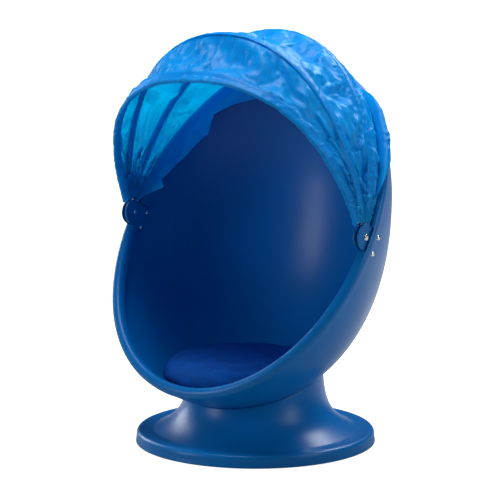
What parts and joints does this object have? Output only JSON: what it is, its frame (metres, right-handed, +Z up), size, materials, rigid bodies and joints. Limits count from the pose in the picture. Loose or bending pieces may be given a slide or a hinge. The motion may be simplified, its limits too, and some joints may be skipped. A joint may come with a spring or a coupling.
{
  "type": "child's swivel pod chair",
  "caption": "Egg-shaped swivel seat for a child: open moulded shell on a trumpet pedestal, round cushion, and a pull-down fabric hood on hinged wire bows.",
  "frame": {"origin": "on the floor at the swivel axis, on the underside of the anti-slip mat", "axes": "+Z up; the seat's opening faces -Y at rest; +X is to the left of a child sitting in it"},
  "size_m": [0.6048, 0.4752, 0.8048],
  "materials": {
    "shell_blue": "satin",
    "hood_fabric": "thin crinkled nylon",
    "cushion_fabric": "matt weave",
    "foam": "open-cell foam",
    "bright_steel": "bright plated",
    "plated_steel": "zinc plated",
    "dark_rubber": "matt",
    "white_nylon": "natural"
  },
  "bodies": {
    "floor_unit": {"anti_slip_mat": "dark_rubber", "floor_plate": "plated_steel", "lower_race": "plated_steel", "pivot_stud": "plated_steel", "pivot_washer": "plated_steel", "pivot_nut": "plated_steel"},
    "bearing_cage": {"ball_cage": "white_nylon", "bearing_ball_1": "bright_steel", "bearing_ball_2": "bright_steel", "bearing_ball_3": "bright_steel", "bearing_ball_4": "bright_steel", "bearing_ball_5": "bright_steel", "bearing_ball_6": "bright_steel", "bearing_ball_7": "bright_steel", "bearing_ball_8": "bright_steel"},
    "seat_unit": {"pedestal": "shell_blue", "carrier_plate": "plated_steel", "upper_race": "plated_steel", "pivot_bush": "white_nylon", "carrier_screw_1": "plated_steel", "carrier_screw_2": "plated_steel", "carrier_screw_3": "plated_steel", "carrier_screw_4": "plated_steel", "egg_shell": "shell_blue", "shell_bolt_1": "plated_steel", "shell_washer_1": "plated_steel", "shell_nut_1": "plated_steel", "shell_bolt_2": "plated_steel", "shell_washer_2": "plated_steel", "shell_nut_2": "plated_steel", "shell_bolt_3": "plated_steel", "shell_washer_3": "plated_steel", "shell_nut_3": "plated_steel", "shell_bolt_4": "plated_steel", "shell_washer_4": "plated_steel", "shell_nut_4": "plated_steel", "cushion_foam": "foam", "cushion_cover": "cushion_fabric", "hinge_bracket_left": "shell_blue", "hinge_disc_left": "shell_blue", "hinge_rivet_left": "bright_steel", "bracket_screw_left_upper": "bright_steel", "bracket_nut_left_upper": "bright_steel", "bracket_screw_left_lower": "bright_steel", "bracket_nut_left_lower": "bright_steel", "hinge_bracket_right": "shell_blue", "hinge_disc_right": "shell_blue", "hinge_rivet_right": "bright_steel", "bracket_screw_right_upper": "bright_steel", "bracket_nut_right_upper": "bright_steel", "bracket_screw_right_lower": "bright_steel", "bracket_nut_right_lower": "bright_steel"},
    "hood_bow_4": {"hood_bow_4": "bright_steel", "hood_rear_flap": "hood_fabric"},
    "hood_bow_3": {"hood_bow_3": "bright_steel", "hood_gore_3": "hood_fabric"},
    "hood_bow_2": {"hood_bow_2": "bright_steel", "hood_gore_2": "hood_fabric"},
    "hood_bow_1": {"hood_bow_1": "bright_steel", "hood_gore_1": "hood_fabric"}
  },
  "joints": [
    {"name": "seat_swivel", "type": "hinge", "parent": "floor_unit", "child": "seat_unit", "pos_m": [0, 0, 0.0123], "axis": [0, 0, 1], "continuous": true},
    {"name": "cage_spin", "type": "hinge", "parent": "floor_unit", "child": "bearing_cage", "pos_m": [0, 0, 0.0123], "axis": [0, 0, 1], "continuous": true},
    {"name": "hood_bow_4_turn", "type": "hinge", "parent": "seat_unit", "child": "hood_bow_4", "pos_m": [0, -0.041, 0.436], "axis": [1, 0, 0], "range_deg": [0, 16], "deforming": ["hood_rear_flap"]},
    {"name": "hood_bow_3_turn", "type": "hinge", "parent": "hood_bow_4", "child": "hood_bow_3", "pos_m": [0, -0.041, 0.436], "axis": [1, 0, 0], "range_deg": [-7, 17.5], "deforming": ["hood_gore_3"]},
    {"name": "hood_bow_2_turn", "type": "hinge", "parent": "hood_bow_3", "child": "hood_bow_2", "pos_m": [0, -0.041, 0.436], "axis": [1, 0, 0], "range_deg": [-16.5, 8], "deforming": ["hood_gore_2"]},
    {"name": "hood_bow_1_turn", "type": "hinge", "parent": "hood_bow_2", "child": "hood_bow_1", "pos_m": [0, -0.041, 0.436], "axis": [1, 0, 0], "range_deg": [-10, 16], "deforming": ["hood_gore_1"]}
  ],
  "couplings": [
    {"joint": "cage_spin", "follows": "seat_swivel", "ratio": 0.5}
  ]
}
